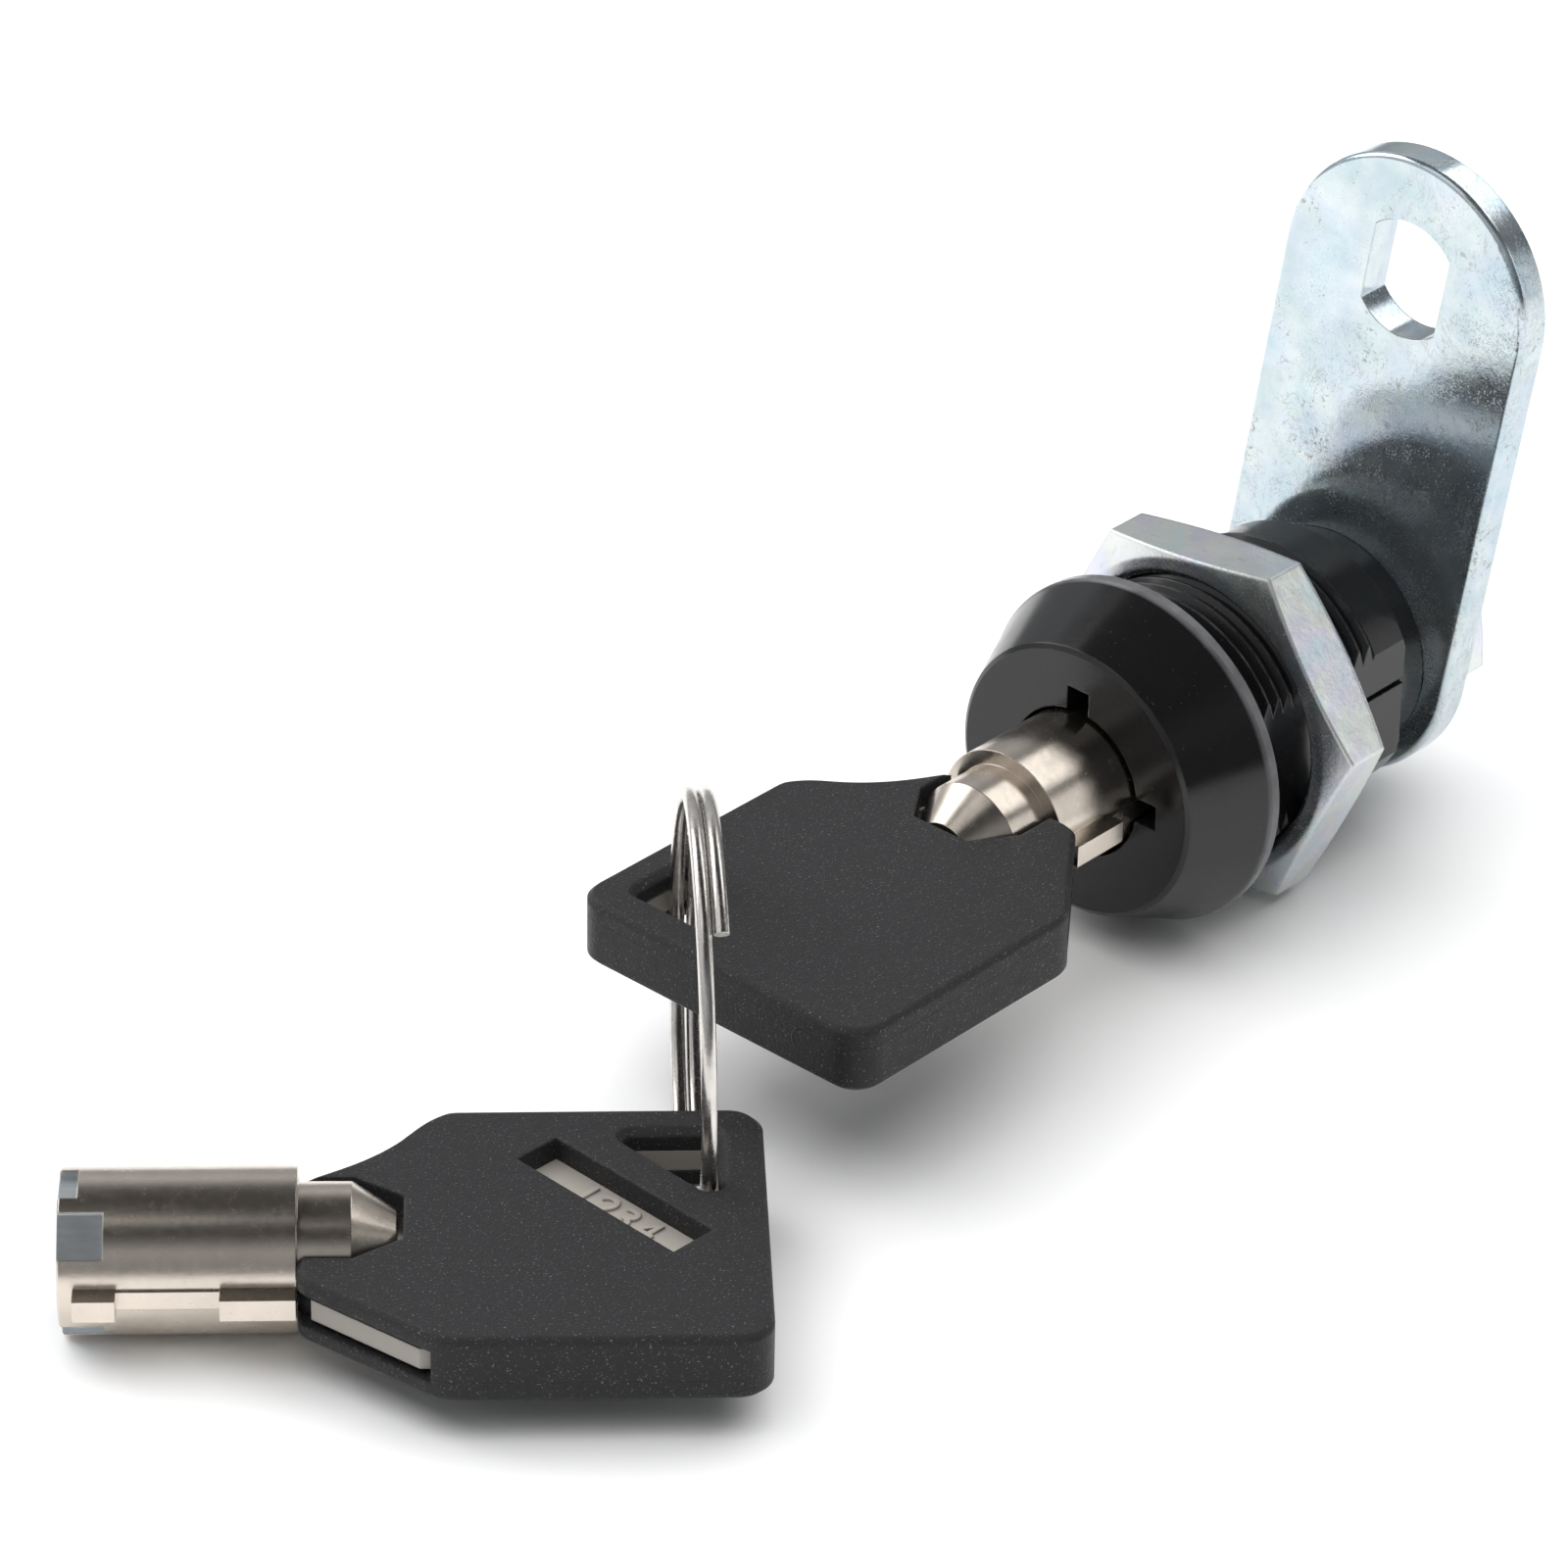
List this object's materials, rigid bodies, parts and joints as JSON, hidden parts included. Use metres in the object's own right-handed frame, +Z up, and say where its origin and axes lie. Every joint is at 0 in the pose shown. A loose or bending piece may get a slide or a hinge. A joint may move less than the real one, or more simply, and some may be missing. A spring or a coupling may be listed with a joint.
{
  "type": "tubular cam lock",
  "caption": "Round cam lock with a flatted threaded barrel, hex fixing nut and straight cam, with tubular keys in plastic bows on a split ring.",
  "frame": {"origin": "on the lock axis in the plane of the flange's back face, which seats on the panel", "axes": "+Y along the lock axis from the key side to the cam side, +Z up, +X to the right seen from the key side"},
  "size_m": [0.039, 0.108, 0.0465],
  "materials": {
    "black_zinc_alloy": "satin black plated die cast",
    "zinc_nut": "blue zinc plated",
    "zinc_cam": "blue zinc plated sheet steel",
    "brass_pins": "turned",
    "steel": "plain",
    "nickel_key": "satin nickel",
    "black_plastic": "fine texture",
    "ring_steel": "nickel plated"
  },
  "bodies": {
    "lock": {"housing": "black_zinc_alloy", "pin_block": "black_zinc_alloy", "retaining_pin": "steel", "rear_bush": "black_zinc_alloy", "driver_pin_1": "brass_pins", "driver_pin_2": "brass_pins", "driver_pin_3": "brass_pins", "driver_pin_4": "brass_pins", "driver_pin_5": "brass_pins", "driver_pin_6": "brass_pins", "driver_pin_7": "brass_pins", "pin_spring_1": "steel", "pin_spring_2": "steel", "pin_spring_3": "steel", "pin_spring_4": "steel", "pin_spring_5": "steel", "pin_spring_6": "steel", "pin_spring_7": "steel"},
    "plug": {"spindle": "black_zinc_alloy", "anti_drill_pin": "steel", "tailpiece": "zinc_nut", "tail_cross_pin": "steel", "stop_disc": "black_zinc_alloy", "cam": "zinc_cam", "lock_washer": "zinc_nut", "cam_nut": "zinc_nut", "key_pin_1": "brass_pins", "key_pin_2": "brass_pins", "key_pin_3": "brass_pins", "key_pin_4": "brass_pins", "key_pin_5": "brass_pins", "key_pin_6": "brass_pins", "key_pin_7": "brass_pins"},
    "fixing_nut": {"hex_nut": "zinc_nut"},
    "key_a": {"key_a_insert": "nickel_key", "key_a_bow": "black_plastic"},
    "ring": {"split_ring": "ring_steel"},
    "key_b": {"key_b_insert": "nickel_key", "key_b_bow": "black_plastic"}
  },
  "joints": [
    {"name": "plug_turn", "type": "hinge", "parent": "lock", "child": "plug", "pos_m": [0, 0, 0], "axis": [0, -1, 0], "range_deg": [0, 90]},
    {"name": "nut_travel", "type": "slide", "parent": "lock", "child": "fixing_nut", "axis": [0, 1, 0], "range_m": [-0.0045, 0.004]},
    {"name": "key_a_pull", "type": "slide", "parent": "plug", "child": "key_a", "axis": [0, -1, 0], "range_m": [0, 0.03]},
    {"name": "ring_swing", "type": "hinge", "parent": "key_a", "child": "ring", "pos_m": [-0.00745, -0.03312, 0], "axis": [0, 0, 1], "range_deg": [-3, 3]},
    {"name": "key_b_swing", "type": "hinge", "parent": "ring", "child": "key_b", "pos_m": [0.00774, -0.04758, -0.00666], "axis": [0, 0, 1], "range_deg": [-3, 3]}
  ]
}
